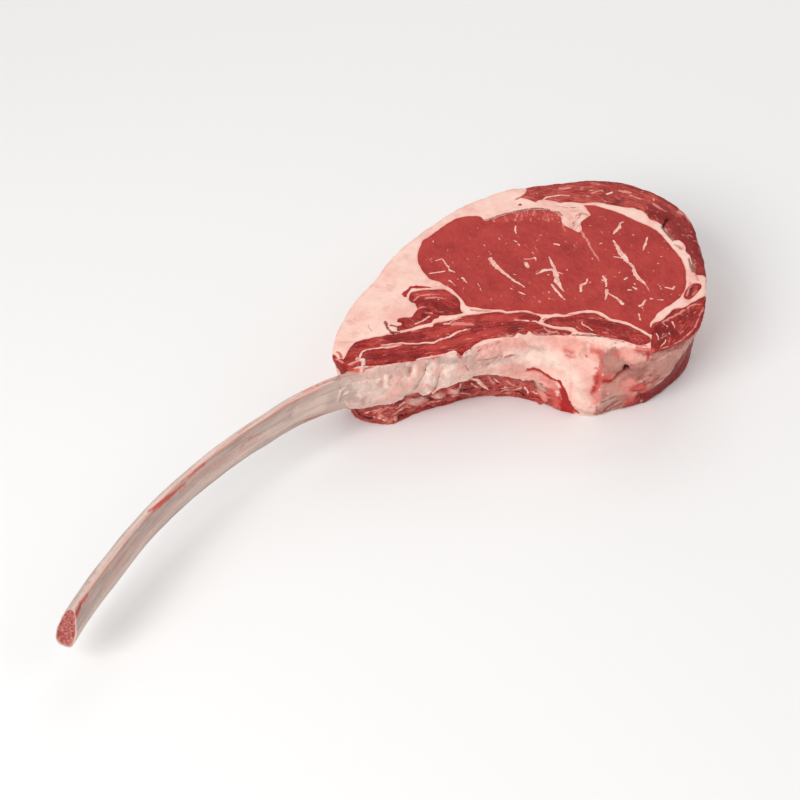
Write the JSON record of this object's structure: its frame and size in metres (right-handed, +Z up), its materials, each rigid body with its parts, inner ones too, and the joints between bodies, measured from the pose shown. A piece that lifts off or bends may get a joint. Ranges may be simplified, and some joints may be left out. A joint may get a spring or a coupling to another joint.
{
  "type": "raw tomahawk steak",
  "caption": "Thick raw bone-in rib steak with a round eye of meat, a crescent cap, a web of fat and a long curved cleaned rib, lying on its cut face.",
  "frame": {"origin": "middle of the meat's flat underside, on the eye muscle", "axes": "+Z up through the thickness of the steak; +X towards the spine end, along the longest extent; +Y towards the back of the cap; the cleaned rib leaves at the front left, towards -X and -Y"},
  "size_m": [0.3306, 0.3125, 0.052],
  "materials": {
    "red_meat": "moist raw red meat with pale marbling",
    "dark_meat": "moist dark red meat with coarse fibres and pale streaks",
    "white_fat": "waxy cream and pink fat",
    "rib_bone": "cleaned grey and pink bone, satin"
  },
  "bodies": {
    "root": {"rib_bone": "rib_bone", "eye_muscle": "red_meat", "cap_muscle": "red_meat", "island_muscle": "dark_meat", "tail_muscle": "dark_meat", "lobe_muscle": "dark_meat", "rib_strip_muscle": "dark_meat", "inner_strip_muscle": "dark_meat", "lower_rib_meat": "dark_meat", "fat": "white_fat"}
  },
  "joints": []
}
